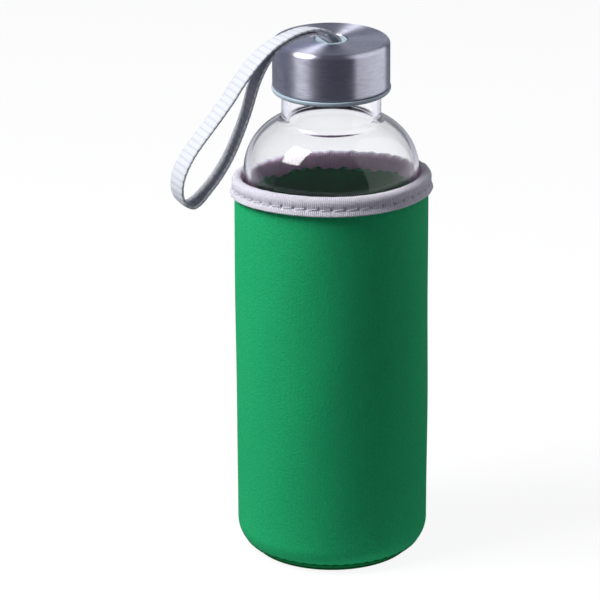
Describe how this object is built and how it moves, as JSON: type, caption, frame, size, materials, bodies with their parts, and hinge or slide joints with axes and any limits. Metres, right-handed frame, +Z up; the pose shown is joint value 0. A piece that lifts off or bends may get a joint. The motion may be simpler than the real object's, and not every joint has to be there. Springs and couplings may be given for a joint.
{
  "type": "glass water bottle",
  "caption": "Glass water bottle with a steel-clad screw cap, a webbing carry strap and a fitted neoprene sleeve.",
  "frame": {"origin": "centre of the sleeve's underside, on the surface the bottle stands on", "axes": "+Z up the bottle's axis, -Y the front, -X towards the side the strap hangs on"},
  "size_m": [0.0922, 0.0716, 0.1961],
  "materials": {
    "clear_glass": "clear, polished, slight wall ripple",
    "cap_plastic": "moulded polypropylene, satin, pale grey blue",
    "brushed_steel": "brushed round the side, turned brushing on the top",
    "silicone": "satin, translucent white",
    "strap_webbing": "woven ribbed webbing, light grey",
    "grey_thread": "twisted polyester thread",
    "green_neoprene": "foam rubber faced with fine green knit",
    "grey_knit_tape": "fine ribbed knit tape, light grey",
    "green_thread": "overlock thread, dark green"
  },
  "bodies": {
    "sleeve": {"sleeve_wall": "green_neoprene", "sleeve_base": "green_neoprene", "sleeve_binding": "grey_knit_tape", "binding_thread": "grey_thread", "base_seam_thread": "green_thread"},
    "bottle": {"glass_bottle": "clear_glass"},
    "seal": {"cap_seal": "silicone"},
    "cap": {"cap_core": "cap_plastic", "cap_shell": "brushed_steel", "strap_bar": "cap_plastic", "strap_anchor": "strap_webbing", "strap_bartack": "grey_thread"},
    "loop": {"strap_loop": "strap_webbing"}
  },
  "joints": [
    {"name": "bottle_pull", "type": "slide", "parent": "sleeve", "child": "bottle", "axis": [0, 0, 1], "range_m": [0, 0.15]},
    {"name": "cap_lift", "type": "slide", "parent": "bottle", "child": "seal", "axis": [0, 0, 1], "range_m": [0, 0.009]},
    {"name": "cap_turn", "type": "hinge", "parent": "seal", "child": "cap", "pos_m": [0, 0, 0.18], "axis": [0, 0, 1], "range_deg": [0, 720]},
    {"name": "strap_swing", "type": "hinge", "parent": "cap", "child": "loop", "pos_m": [-0.01269, -0.00592, 0.19571], "axis": [-0.4226, 0.9063, 0], "range_deg": [0, 80]}
  ],
  "couplings": [
    {"joint": "cap_lift", "follows": "cap_turn", "m_per_rad": 0.0007162}
  ]
}
